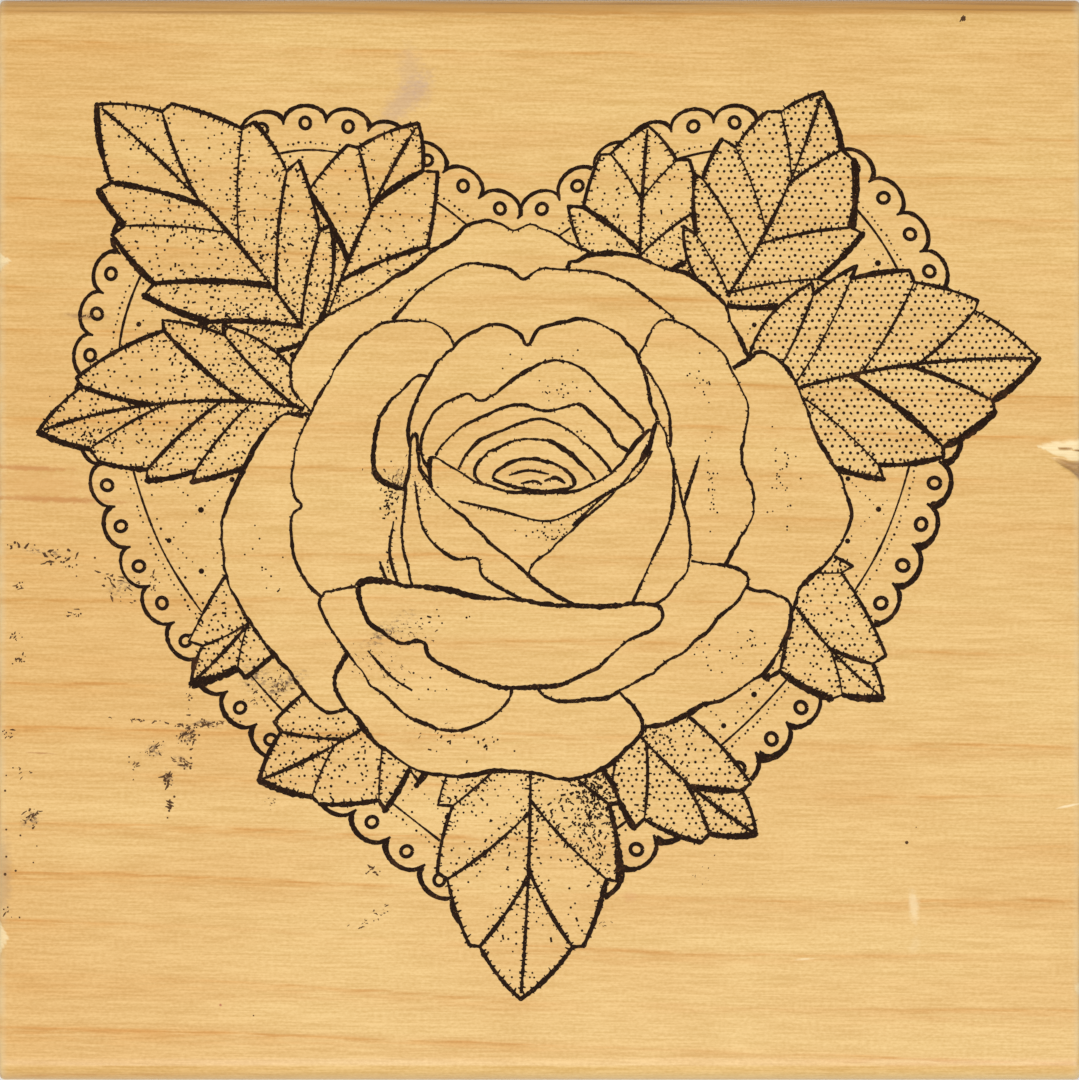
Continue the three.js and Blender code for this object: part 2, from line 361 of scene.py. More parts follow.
def stipple(layer, rib, at_tip, ribs):
    """Dots over a leaf. In shade they are regular and even. In light they are finer and looser, thin out
    towards the tip and away from the ribs, and have short dashes among them near the base."""
    lit = 1 - at_tip
    pitch = 0.65 - 0.15 * lit
    low, high = layer.outline.min(0), layer.outline.max(0)
    columns, rows = np.arange(low[0], high[0], pitch), np.arange(low[1], high[1], pitch * 0.87)
    grid = np.stack(np.meshgrid(columns, rows), -1)
    grid[1::2, :, 0] += pitch / 2
    points = grid.reshape(-1, 2)
    points = points + draws.normal(0, 0.035 + 0.12 * lit, points.shape)
    points = points[inside(layer.outline, points)]
    share = (points - rib.base) @ (rib.along / rib.length)
    from_rib = np.min(np.linalg.norm(points[:, None] - ribs[None], axis=2), axis=1)
    kept_by_share = 1 - lit * np.clip(share * 1.3 - 0.1, 0, 0.9)
    kept_by_rib = 1 - 0.85 * lit * np.clip(from_rib / 1.4 - 0.5, 0, 1)
    keep = draws.random(len(points)) < kept_by_share * kept_by_rib
    for (x, y), at in zip(points[keep], share[keep]):
        if draws.random() < 0.5 * lit * (1 - at):
            layer.dash(x, y, draws.uniform(0.2, 0.45), 0.17)
        else:
            layer.dot(x, y, draws.uniform(0.115, 0.15) - draws.uniform(0.03, 0.075) * lit)


# ---------- the rose
# Each petal's outline, from the back to the front.
PETALS = {
    "back_top_left": [(-20.5, 12), (-19.6, 17.6), (-14, 21.2), (-8.6, 24.8), (-5.2, 27.0), (-3.4, 26.9),
        (-2.2, 26.3), (-0.6, 26.9), (2, 25.4), (5, 22.6), (3, 10), (-10, 5)],
    "back_top_right": [(2.4, 22.0), (3.4, 23.8), (6.4, 24.4), (10, 23.4), (13.0, 22.2), (15.4, 20.4),
        (17.0, 17.0), (20, 12.4), (22.5, 9.0), (14, 4), (4, 10)],
    "back_right": [(18.2, 15.8), (21.5, 13.6), (23.4, 9.2), (26.2, 3.8), (26.4, 1.4), (24.8, -1.6),
        (22.4, -4.0), (19.6, -8.4), (12, -6), (12, 8)],
    "back_left": [(-20.0, 10.6), (-23.6, 8.8), (-26.2, 3.4), (-27.0, -0.6), (-25.6, -5.6), (-21.4, -11.0),
        (-17.2, -14.6), (-10, -8), (-12, 6)],
    "back_bottom_right": [(20.4, -4.8), (21.0, -8.0), (18.6, -11.6), (13.6, -14.4), (8.6, -16.0),
        (2.6, -16.2), (-2.6, -14.4), (0, -8), (12, -4)],
    "back_bottom_left": [(-17.2, -11.4), (-15.8, -14.8), (-12.6, -18.2), (-8.0, -20.0), (-2.4, -19.6),
        (3.4, -20.2), (7.6, -17.6), (8.2, -14.6), (0, -8), (-12, -6)],
    "mid_top": [(-13, 15), (-11.2, 20.0), (-7.4, 23.0), (-3.2, 23.2), (-1.4, 22.3), (0.4, 22.9),
        (5.4, 22.7), (8.8, 20.9), (12.0, 17.6), (13.4, 12), (0, 6)],
    "mid_left": [(-7.6, 17.2), (-12.0, 18.6), (-15.6, 16.9), (-18.4, 12.6), (-20.6, 8.2), (-21.0, 4.0),
        (-20.2, 2.9), (-21.0, 1.8), (-20.6, -2.2), (-18.4, -4.8), (-14.6, -6.8), (-11.4, -8.4), (-5, -6),
        (-6, 8)],
    "mid_right": [(9.6, 17.8), (12.4, 18.2), (15.6, 15.6), (17.6, 11.4), (17.2, 7.0), (18.2, 3.2),
        (16.6, -0.6), (13.6, -4.6), (8.4, -6.2), (3, -5), (6, 8)],
    "low_left": [(-18.4, -4.6), (-16.6, -9.2), (-13.4, -13.0), (-9.0, -16.0), (-5.0, -15.6),
        (-2.2, -12.4), (-3, -7), (-10, -4)],
    "low_right": [(17.6, -3.0), (15.0, -7.0), (10.8, -10.4), (5.8, -13.2), (1.4, -13.6), (-0.4, -11.8),
        (1, -6), (10, -2)],
    "cup_left_lip": [(-9.2, 13.6), (-12.4, 12.2), (-13.9, 8.6), (-13.6, 5.4), (-10.0, 4.2), (-8.0, 6)],
    "cup_right_lip": [(7.2, 14.2), (9.6, 13.9), (11.2, 9.8), (10.2, 6.2), (7.2, 2.6), (3.8, -0.6),
        (0, -3), (2, 6)],
    "cup_back": [(-10.6, 7.0), (-10.4, 12.2), (-7.2, 16.6), (-4.2, 18.3), (-1.8, 17.6), (-1.0, 16.6),
        (0.2, 18.2), (4.4, 18.6), (7.6, 16.6), (9.4, 11.8), (9.6, 8.6), (4, 0), (-4, 0)],
    "cup_second": [(-9.6, 6.0), (-9.2, 10.4), (-6.4, 12.4), (-4.6, 12.0), (0.2, 15.0), (3.4, 14.6),
        (6.8, 11.4), (8.6, 8.4), (4, 1), (-4, 1)],
    "cup_third": [(-8.8, 5.4), (-7.6, 8.8), (-4.2, 10.8), (-1.6, 11.6), (0.6, 10.8), (3.6, 11.4),
        (6.2, 8.6), (7.6, 6.0), (3, 1), (-4, 1)],
    "cup_fourth": [(-6.8, 5.4), (-5.6, 8.0), (-2.6, 9.6), (0.4, 10.2), (3.2, 8.8), (5.6, 6.6), (5.8, 4.4),
        (0, 2), (-4, 3)],
    "heart_one": [(-5.4, 5.4), (-4.6, 7.4), (-1.2, 8.4), (1.8, 7.8), (4.2, 5.6), (4.4, 4.4), (0, 3),
        (-3, 3.6)],
    "heart_two": [(-3.8, 5.2), (-3.0, 6.4), (-0.6, 6.9), (1.8, 6.3), (3.0, 4.8), (1.4, 4.1), (-1.8, 4.3)],
    "cup_front": [(-9.4, 6.9), (-6.4, 5.4), (-3.2, 4.2), (1.2, 4.0), (4.2, 4.6), (6.6, 6.2), (8.6, 8.6),
        (9.4, 8.8), (6.0, 2.0), (1.4, -2.6), (-0.8, -5.0), (-4.6, -1.8), (-8.2, 2.4)],
    "wrap_right": [(10.2, 9.9), (9.0, 7.2), (5.6, 3.4), (1.2, -0.6), (-1.0, -2.8), (-0.6, -5.6),
        (5.0, -6.4), (9.8, -5.6), (12.8, -1.6), (11.9, 4.2)],
    "wrap_left": [(-10.7, 8.9), (-9.8, 5.4), (-7.2, 2.6), (-3.0, -1.2), (1.2, -4.6), (4.4, -6.8),
        (-2.2, -6.4), (-9.4, -5.6), (-11.6, -0.8), (-11.4, 4.8)],
    "lip_front": [(-15.4, -4.0), (-12.6, -3.7), (-8.0, -4.3), (-2.0, -5.2), (4.0, -5.7), (9.2, -5.5),
        (10.4, -6.4), (9.4, -7.6), (7.6, -8.4), (4.6, -11.0), (0.8, -12.4), (-4.4, -12.3), (-9.0, -10.2),
        (-9.8, -8.7), (-11.8, -8.7), (-14.4, -7.0)],
}
# Folds and creases drawn inside petals: the petal that carries each, and its line.
FOLDS = [
    ("back_left", [(-19.8, 1.5), (-19.3, -2.2), (-18.4, -5.2)]),
    ("mid_left", [(-12.4, 1.6), (-12.7, -1.4), (-11.4, -5.4)]),
    ("mid_left", [(-13.6, -1.8), (-12.8, -3.8), (-11.6, -5.6)]),
    ("mid_right", [(13.6, 7.2), (12.4, 3.4), (11.4, -0.4)]),
    ("cup_front", [(-6.9, 3.3), (-3.4, 2.5), (0.4, 1.6), (3.0, 2.4), (6.4, 4.4)]),
    ("wrap_right", [(9.6, 7.6), (8.2, 5.4), (5.4, 3.6), (2.8, 1.2)]),
    ("wrap_right", [(11.4, 7.0), (11.2, 2.2), (9.4, -2.0), (7.6, -6.0)]),
    ("wrap_left", [(-10.6, 5.0), (-9.8, 0.8), (-7.4, -1.5), (-5.3, -1.6), (-4.7, -3.2), (-1.6, -5.0),
        (1.2, -6.4)]),
    ("heart_two", [(-2.6, 5.5), (-1.0, 5.9), (0.8, 5.6)]),
    ("heart_two", [(0.4, 5.0), (1.4, 5.3), (2.2, 4.8)]),
    ("heart_two", [(-1.6, 4.8), (-0.4, 5.0), (0.2, 4.7)]),
    ("low_left", [(-14.6, -9.4), (-12.6, -11.6), (-10.8, -12.8)]),
]
# Patches of shade: petal or leaf, the patch's middle and half sizes, number of marks, share of dashes.
SHADES = [
    ("bottom", (4.6, -21.8), (2.4, 4.0), 330, 0.85),
    ("bottom", (-4.6, -18.2), (2.2, 1.4), 60, 0.4),
    ("upper_left", (-25.6, 18.4), (3.4, 1.3), 80, 0.7),
    ("upper_left", (-23.4, 25.0), (1.8, 3.4), 40, 0.3),
    ("lower_left", (-16.6, -12.0), (3.0, 1.6), 110, 0.5),
    ("lower_left_small", (-23.6, -3.6), (1.6, 2.4), 70, 0.4),
    ("lower_right_small", (20.6, -5.4), (1.6, 2.4), 60, 0.2),
    ("lower_right", (9.4, -16.4), (2.0, 1.4), 60, 0.3),
    ("left", (-38.0, 8.6), (2.6, 1.0), 50, 0.3),
    ("mid_left", (-12.7, 4.4), (0.7, 2.6), 64, 0.55),
    ("mid_left", (-13.2, -2.6), (0.5, 1.6), 18, 0.5),
    ("mid_right", (14.6, 5.6), (0.5, 4.6), 26, 0.1),
    ("mid_right", (13.4, 13.0), (1.4, 2.0), 12, 0.0),
    ("back_right", (20.6, 5.4), (1.2, 3.4), 30, 0.0),
    ("back_left", (-23.0, -2.4), (1.6, 3.4), 12, 0.2),
    ("back_top_left", (-10.6, 20.4), (3.0, 1.0), 18, 0.3),
    ("back_bottom_right", (16.4, -9.6), (3.0, 1.6), 26, 0.1),
    ("back_bottom_left", (-5.6, -17.2), (3.4, 1.0), 22, 0.5),
    ("cup_back", (-0.6, 15.6), (3.2, 0.9), 8, 0.0),
    ("cup_second", (1.6, 12.6), (2.0, 0.9), 18, 0.1),
    ("cup_third", (3.2, 9.4), (1.6, 0.6), 10, 0.1),
    ("cup_front", (0.8, 0.6), (1.7, 0.5), 24, 0.1),
    ("lip_front", (-8.4, -6.4), (1.8, 0.6), 8, 0.3),
    ("low_left", (-9.8, -12.0), (2.6, 1.4), 12, 0.2),
]


def add_shade(layer, name):
    """The shade patches that belong to one petal or leaf."""
    for owner, middle, sizes, marks, dashes in SHADES:
        if owner != name:
            continue
        points = middle + draws.normal(0, 0.6, (marks, 2)) * sizes
        for x, y in points[inside(layer.outline, points)]:
            if draws.random() < dashes:
                layer.dash(x, y, draws.uniform(0.14, 0.42), 0.14)
            else:
                layer.dot(x, y, draws.uniform(0.06, 0.1))


def petal(name, points):
    outline = spline(points, closed=True)
    count = len(outline)
    unsteady = wander(count, count // 7, 0.09) + wander(count, count // 3, 0.035)
    outline = outline + sideways(outline) * unsteady[:, None]
    outline[-1] = outline[0]
    layer = Layer("petal_" + name, outline)
    weight = 0.37 if name.startswith(("back", "lip")) else 0.28
    layer.stroke(outline, weight, ends=(1, 1), rough=0.22,
                 swell=lambda t: 1 + wander(len(t), len(t) // 24, 0.2))
    layer.thorns(outline, -1, gaps=(0.4, 1.7), reach=(0.14, 0.27), width=0.19)
    layer.thorns(outline, 1, gaps=(1.2, 5.0), reach=(0.12, 0.22), width=0.17)
    for owner, line in FOLDS:
        if owner == name:
            fold = spline(line)
            layer.stroke(fold, draws.uniform(0.2, 0.3), ends=(0.5, 0.8), rough=0.22)
            layer.thorns(fold, draws.choice([-1, 1]), gaps=(0.3, 0.9), reach=(0.14, 0.3), width=0.17)
    add_shade(layer, name)
    return layer


def seen_runs(line, widths, covers):
    """The stretches of a line that no nearer shape covers."""
    seen = np.ones(len(line), bool)
    for cover in covers:
        seen &= ~inside(cover, line)
    edges = np.flatnonzero(np.diff(np.concatenate([[0], seen.astype(int), [0]])))
    return [(line[a:b], widths[a:b]) for a, b in zip(edges[::2], edges[1::2]) if b - a >= 2]


def drawing():
    """What shows of every layer, from the back to the front: (name, lines, dots)."""
    layers = [doily()] + [leaf(name, *facts) for name, facts in LEAVES.items()]
    layers += [petal(name, points) for name, points in PETALS.items()]
    shown = []
    for number, layer in enumerate(layers):
        covers = [other.outline for other in layers[number + 1:]]
        lines = [run for line, widths in layer.lines for run in seen_runs(line, widths, covers)]
        dots = np.array(layer.dots).reshape(-1, 3)
        for cover in covers:
            dots = dots[~inside(cover, dots[:, :2])]
        shown.append((layer.name, lines, dots))
    return shown


# ---------- meshes
def mesh_piece(name, points, faces, material, smooth_angle=None):
    """A mesh object from points in millimetres, riding on the stamp's one body."""
    mesh = bpy.data.meshes.new(name)
    mesh.from_pydata(np.asarray(points) * MM, [], faces)
    mesh.validate()
    mesh.materials.append(material)
    if smooth_angle is not None:
        mesh.shade_smooth()
        mesh.set_sharp_from_angle(angle=math.radians(smooth_angle))
    piece = bpy.data.objects.new(name, mesh)
    bpy.context.scene.collection.objects.link(piece)
    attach(piece, "root")
    return piece


def set_point_values(piece, name, values):
    """Stores one number for each of the mesh's points, for its material to read."""
    attribute = piece.data.attributes.new(name, "FLOAT", "POINT")
    attribute.data.foreach_set("value", np.asarray(values, np.float32))


class Bodies:
    """Closed shells gathered into one mesh."""

    def __init__(self):
        self.points = []
        self.faces = []
        self.count = 0

    def add(self, points, faces, flipped=False):
        faces = np.asarray(faces) + self.count
        self.faces += (faces[:, ::-1] if flipped else faces).tolist()
        self.points.append(points)
        self.count += len(points)

    def tube(self, loops, flipped=False):
        """Joins closed loops of the same number of points, and closes both ends."""
        rows, sides = len(loops), len(loops[0])
        index = np.arange(rows * sides).reshape(rows, sides)
        turned = np.roll(index, -1, axis=1)
        quads = np.stack([index[:-1], turned[:-1], turned[1:], index[1:]], axis=-1).reshape(-1, 4)
        self.add(np.vstack(loops), quads, flipped)
        start = self.count - rows * sides
        first, last = (index[0][::-1] + start).tolist(), (index[-1] + start).tolist()
        self.faces += [first[::-1], last[::-1]] if flipped else [first, last]

    def piece(self, name, material, slot, smooth_angle=None):
        return mesh_piece(name, np.vstack(self.points), self.faces, material, smooth_angle)


def flat_loop(line, height):
    """A plane line at a height, as points in space."""
    return np.column_stack([line, np.full(len(line), height)])


def add_ridge(bodies, line, widths, crest, root, flare):
    """A drawn line as a closed bar from crest to root, wider at the root by the flare on each side."""
    out = sideways(line)
    half = widths[:, None] / 2
    corners = [(half, crest), (-half, crest), (-half - flare, root), (half + flare, root)]
    section = np.stack([flat_loop(line + out * reach, height) for reach, height in corners], axis=1)
    bodies.tube(list(section), flipped=crest < root)


def add_stud(bodies, x, y, radius, crest, root, flare, sides=7):
    """A dot as a closed stud."""
    turn = np.linspace(0, 2 * math.pi, sides, endpoint=False) + 0.7 * x
    circle = np.column_stack([np.cos(turn), np.sin(turn)])
    foot = flat_loop((x, y) + circle * (radius + flare), root)
    head = flat_loop((x, y) + circle * radius, crest)
    bodies.tube([foot, head], flipped=crest < root)


# ---------- the block
FOOT_EASE = 0.8
FOOT_HEIGHT = 4.6
GROOVE_WIDTH = 9.0
GROOVE_DEPTH = 3.0
CROWN_RUN = 1.4
CROWN_DROP = 1.9
END_EASE = 0.4
CLOSE_CUT = 0.2  # between sections where chips may be, which is as far as CLOSE_REACH from each end
CLOSE_REACH = 4.4
OPEN_REACH = 5.2  # from here to the middle the sections are far apart

# Damage where the top meets the sawn ends: which end, place across the grain, reach inwards,
# half width at the edge, depth, drift of the inner tip across the grain, bare wood, grime and painted
# shade in the hollow.
CHIPS = [
    (1, 7.5, 3.9, 1.3, 0.14, 0.5, 1.0, 0.0),
    (1, 7.6, 3.2, 0.14, 0.42, 0.35, 0.0, 0.9),
    (1, 5.9, 2.6, 0.85, 0.6, 1.1, 0.1, 0.75),
    (1, -38.2, 0.6, 0.9, 0.2, 0.1, 0.6, 0.0),
    (1, -4.6, 0.4, 0.6, 0.12, 0.0, 0.4, 0.0),
    (-1, 23.6, 1.1, 0.9, 0.3, 0.2, 0.9, 0.1),
    (-1, -33.8, 0.9, 2.0, 0.22, 0.0, 0.8, 0.0),
    (-1, 2.4, 0.4, 0.5, 0.12, 0.0, 0.5, 0.0),
]


def ripple(values, wavelength, seed):
    """Smooth noise from -1 to 1 along a line of values."""
    source = np.random.default_rng(seed)
    knots = source.uniform(-1, 1, 400)
    at = np.asarray(values) / wavelength + 200
    return np.interp(at, np.arange(400), knots)


def chip_shape(x, y):
    """How far the top is broken away at each point, how bare the wood is there, and how much grime and
    painted shade its hollow gets.
    """
    depth, bare, grime = np.zeros_like(x), np.zeros_like(x), np.zeros_like(x)
    for number, (end, place, reach, half, deepest, drift, paleness, dirt_and_shade) in enumerate(CHIPS):
        share = np.clip(1 - (BLOCK_HIGH[0] - end * x) / reach, 0, 1)
        half_here = half * share * (1 + 0.25 * ripple(x, 0.5, number)) + 1e-6
        across = np.abs(y - place - drift * (1 - share)) / half_here
        within = np.clip(1 - across**2, 0, 1) * (share > 0)
        depth = np.maximum(depth, deepest * share * within)
        bare = np.maximum(bare * (1 - (dirt_and_shade > 0) * (within > 0)), paleness * np.clip(within * 3, 0, 1))
        grime = np.maximum(grime, dirt_and_shade * np.clip(within * 2, 0, 1) * np.clip(share * 2, 0, 1))
    return depth, bare, grime


def arc(centre, radius, start, end, count):
    turn = np.radians(np.linspace(start, end, count))
    return np.column_stack([centre[0] + radius * np.cos(turn), centre[1] + radius * np.sin(turn)])


def crown(side):
    """The rounded upper edge on one side, from the outside in: across, up."""
    half, height = BLOCK_HIGH[1], BLOCK_HIGH[2] - BLOCK_LOW[2]
    t = np.linspace(0, 1, 14)[:, None]
    outer, bend, inner = np.array([
        (half, height - CROWN_DROP), (half, height - CROWN_DROP / 3), (half - CROWN_RUN, height),
    ])
    return ((1 - t) ** 2 * outer + 2 * t * (1 - t) * bend + t**2 * inner) * (side, 1)


def groove(side):
    """The finger groove on one side, from its lower edge to its upper one."""
    radius = (GROOVE_WIDTH**2 / 4 + GROOVE_DEPTH**2) / (2 * GROOVE_DEPTH)
    swing = math.degrees(math.asin(GROOVE_WIDTH / 2 / radius))
    centre = (BLOCK_HIGH[1] - GROOVE_DEPTH + radius, FOOT_HEIGHT + GROOVE_WIDTH / 2)
    return arc(centre, radius, 180 + swing, 180 - swing, 26) * (side, 1)


def block_section():
    """The block's outline across the grain, anticlockwise: across, up from its underside."""
    half = BLOCK_HIGH[1]
    chipped = np.concatenate([
        np.arange(place - half_width - 0.6, place + half_width + 0.9, 0.18)
        for end, place, reach, half_width, *rest in CHIPS
    ])
    plain = np.arange(-half + CROWN_RUN + 0.7, half - CROWN_RUN - 0.6, 0.9)
    top = np.unique(np.round(np.concatenate([plain, chipped]), 2))[::-1]
    foot = arc((half - FOOT_EASE, FOOT_EASE), FOOT_EASE, -90, 0, 7)
    side = np.linspace(FOOT_EASE, FOOT_HEIGHT, 6)[1:-1]
    lip = np.linspace(FOOT_HEIGHT + GROOVE_WIDTH, BLOCK_HIGH[2] - BLOCK_LOW[2] - CROWN_DROP, 5)[1:-1]
    right = np.vstack([foot, [(half, z) for z in side], groove(1), [(half, z) for z in lip], crown(1)])
    left = right[::-1] * (-1, 1)
    level = BLOCK_HIGH[2] - BLOCK_LOW[2]
    base = [(y, 0) for y in np.linspace(-half + FOOT_EASE, half - FOOT_EASE, 40)[1:-1]]
    return np.vstack([right, [(y, level) for y in top], left, base])


def cuts():
    """Where the block's sections are, from end to end: the place, and how far the section shrinks."""
    length = BLOCK_HIGH[0]
    turn = np.radians(np.linspace(0, 90, 5))
    half = [(length - END_EASE * (1 - math.cos(a)), END_EASE * (1 - math.sin(a))) for a in turn]
    half += [(x, 0) for x in np.arange(length - END_EASE - CLOSE_CUT, length - CLOSE_REACH, -CLOSE_CUT)]
    half += [(x, 0) for x in np.linspace(length - OPEN_REACH, 0, 32)]
    return [(-x, inset) for x, inset in half] + half[-2::-1]


def wood_block(material):
    section = block_section()
    after, before = np.roll(section, -1, axis=0), np.roll(section, 1, axis=0)
    along = unit(after - before)
    inward = np.column_stack([-along[:, 1], along[:, 0]])
    loops, values = [], []
    for x, inset in cuts():
        worn = 1 + 0.35 * ripple(section[:, 0], 2.2, 31 + (x > 0))
        loop = section + inward * (inset * worn)[:, None]
        height = loop[:, 1] + BLOCK_LOW[2]
        depth, bare, grime = chip_shape(np.full(len(loop), x), section[:, 0])
        near_top = np.clip((height - TOP + 2.2) / 1.2, 0, 1)
        height = height - depth * near_top
        loops.append(np.column_stack([np.full(len(loop), x), loop[:, 0], height]))
        values.append(np.column_stack([bare, grime]) * near_top[:, None])
    bodies = Bodies()
    bodies.tube(loops)
    piece = bodies.piece("maple_block", material, "maple", smooth_angle=40)
    bare, grime = np.vstack(values).T
    set_point_values(piece, "bare", bare)
    set_point_values(piece, "grime", grime)
    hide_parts("wood_block")
    return piece


# ---------- the ink and the rubber
INK_HEIGHT = 0.012
INK_SINK = 0.01
INK_WAVER = (0.006, 0.006)  # how much the crests of lines and of dots differ in height
RELIEF_HEIGHT = 1.3
RELIEF_FLARE = 0.28
RELIEF_ROOT = 0.1
RELIEF_WAVER = (0.01, 0.02)
FAMILIES = (("doily", "doily"), ("leaf", "leaves"), ("petal", "rose"))


def drawn_pieces(prefix, shown, material, slot, crest, waver, root, flare=0, sides=7):
    """The whole drawing as ridges and studs, one piece for each family of shapes."""
    for family, title in FAMILIES:
        bodies = Bodies()
        for name, lines, dots in shown:
            if not name.startswith(family):
                continue
            for line, widths in lines:
                add_ridge(bodies, line, widths, crest + draws.uniform(0, waver[0]), root, flare)
            for x, y, radius in dots:
                add_stud(bodies, x, y, radius, crest + draws.uniform(0, waver[1]), root, flare, sides)
        bodies.piece(prefix + title, material, slot)


def index_print(shown, material):
    """The drawing as thin ink on the block's top."""
    drawn_pieces("index_", shown, material, "index_ink", TOP + INK_HEIGHT, INK_WAVER, TOP - INK_SINK)


# Stray ink on the block: place, spread along X and Y, turn in degrees, marks, size.
SMUDGES = [
    ((-42.4, -0.9), (2.6, 0.6), -12, 24, 1.15), ((-39.8, -1.8), (0.9, 1.1), 40, 10, 1.1),
    ((-36.0, -3.9), (2.0, 0.9), -24, 26, 1.0), ((-33.2, -3.4), (0.7, 0.9), 60, 18, 0.8),
    ((-39.2, -6.4), (0.9, 0.3), -15, 10, 0.8), ((-44.3, -3.9), (0.4, 0.4), 30, 8, 0.9),
    ((-44.4, -8.2), (0.4, 0.6), 70, 9, 0.8), ((-44.0, -10.0), (0.7, 0.3), 30, 12, 0.9),
    ((-28.4, -15.6), (2.2, 0.3), 2, 44, 0.8), ((-33.6, -15.4), (2.6, 0.12), -3, 16, 0.8),
    ((-29.9, -16.7), (0.8, 0.8), 50, 34, 0.9), ((-32.7, -17.8), (0.8, 0.7), 30, 22, 0.7),
    ((-30.3, -18.9), (0.7, 0.5), -30, 22, 0.9), ((-31.6, -20.3), (0.4, 0.7), 20, 22, 1.1),
    ((-31.4, -22.4), (0.15, 0.7), 0, 10, 1.1), ((-34.3, -19.2), (0.6, 0.9), 0, 12, 0.7),
    ((-29.8, -13.6), (0.2, 1.0), 0, 9, 0.9), ((-22.8, -22.0), (0.6, 1.0), 0, 9, 0.5),
    ((-22.2, -12.5), (1.1, 0.9), 20, 36, 0.8), ((-24.4, -13.6), (0.7, 0.5), 0, 10, 0.8),
    ((-43.2, -23.7), (0.7, 0.6), 40, 22, 0.9), ((-45.1, -16.3), (0.4, 0.5), 40, 12, 0.8),
    ((-44.0, -19.8), (0.6, 0.4), 0, 7, 0.6), ((-45.2, -31.6), (0.4, 0.9), 50, 8, 0.8),
    ((-14.4, -32.2), (1.8, 0.5), 25, 22, 0.6), ((-14.0, -28.2), (0.5, 0.4), 10, 9, 1.0),
    ((-38.2, 19.0), (0.9, 0.15), 0, 16, 0.6), ((-24.4, 15.4), (2.6, 1.2), -25, 34, 0.5),
    ((-11.6, 5.0), (1.2, 2.4), 65, 60, 0.7), ((-10.8, -7.8), (2.2, 0.9), 10, 40, 0.6),
    ((-13.6, -10.4), (2.6, 1.4), -30, 46, 0.5), ((-8.6, -16.0), (1.6, 0.5), 5, 22, 0.5),
    ((36.0, 44.3), (0.18, 0.08), 30, 5, 1.3), ((5.4, -32.6), (0.9, 0.3), 10, 8, 0.5),
    ((15.0, -27.5), (2.2, 1.2), 50, 9, 0.5),
]
# Single specks: across, up, radius.
SPECKS = [
    (31.2, -25.7, 0.15), (32.0, -24.4, 0.05), (-24.3, -40.4, 0.07), (-45.3, -24.6, 0.09),
    (-44.1, -25.1, 0.09), (-45.3, -26.9, 0.1), (-44.5, -28.1, 0.1), (-45.4, -28.4, 0.13),
    (-43.0, -27.4, 0.07), (-42.7, -26.0, 0.06), (-45.4, -21.3, 0.1), (-45.3, -20.0, 0.07),
    (-41.6, 12.2, 0.06), (-31.6, -23.6, 0.08),
]


def stray_ink(material):
    """Flecks and dashes scattered where the stamp was handled with ink on it."""
    source = np.random.default_rng(19)
    bodies = Bodies()
    root = TOP - INK_SINK
    for x, y, radius in SPECKS:
        add_stud(bodies, x, y, radius, TOP + INK_HEIGHT, root, 0, 9)
    for place, spread, turn, marks, size in SMUDGES:
        a = math.radians(turn)
        axes = np.array([[math.cos(a), math.sin(a)], [-math.sin(a), math.cos(a)]])
        for _ in range(marks):
            spot = place + (source.normal(0, 0.6, 2) * spread) @ axes
            crest = TOP + INK_HEIGHT + source.uniform(0, INK_WAVER[0])
            if abs(spot[1]) > BLOCK_HIGH[1] - CROWN_RUN or abs(spot[0]) > BLOCK_HIGH[0] - END_EASE:
                continue
            if source.random() < 0.5:
                add_stud(bodies, *spot, source.uniform(0.04, 0.12) * size, crest, root, 0, 6)
                continue
            lean = a + source.normal(0, 0.55)
            half = np.array([math.cos(lean), math.sin(lean)]) * source.uniform(0.06, 0.34) * size
            line = np.array([spot - half, spot + half * 0.1 + source.normal(0, 0.05, 2), spot + half])
            widths = np.array([0.06, source.uniform(0.1, 0.24), 0.06]) * size
            add_ridge(bodies, line, widths, crest, root, 0)
    bodies.piece("index_smudges", material, "index_ink")


# ---------- the soft layers under the block
TRIM_LINE = [
    (-1.5, 31.5), (4, 34), (9, 38), (16, 38.6), (24.6, 40.4), (29.2, 34), (34.6, 29.4), (37.6, 22.6),
    (44.6, 16.2), (42, 8), (38.6, 1), (33.6, -6.4), (31.6, -15.2), (25, -19), (20.6, -27.2),
    (10.6, -28.4), (5.6, -33.6), (-1.4, -41.6), (-8, -34.4), (-15.2, -28.4), (-24.6, -22.6),
    (-31.6, -14.2), (-35.6, -6.6), (-39.8, 1.4), (-44.8, 9), (-42.4, 18.6), (-40.2, 27.4), (-40, 38.8),
    (-31, 38.2), (-20, 38.6), (-9.6, 38),
]


def trimmed(inset, seed):
    """The outline that the layers were cut to by hand, anticlockwise, with the cutter's slight waver."""
    line = resample(spline(TRIM_LINE, closed=True), 0.5)[:-1][::-1]
    steps = np.arange(len(line))
    waver = 0.09 * ripple(steps, 6, seed) + 0.03 * ripple(steps, 1.5, seed + 1)
    return line + sideways(line) * (inset + waver)[:, None]


def layer_piece(name, node, material, slot, profile, seed, inset=0.35):
    """A cut sheet; profile lists the inset of its edge at shares of its height, from below to above."""
    low, high = box_mm(node)
    bodies = Bodies()
    loops = []
    for share, tuck in profile:
        line = trimmed(inset + tuck, seed)
        loops.append(flat_loop(line, low[2] + (high[2] - low[2]) * share))
    bodies.tube(loops)
    piece = bodies.piece(name, material, slot, smooth_angle=50)
    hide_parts(node)
    return piece


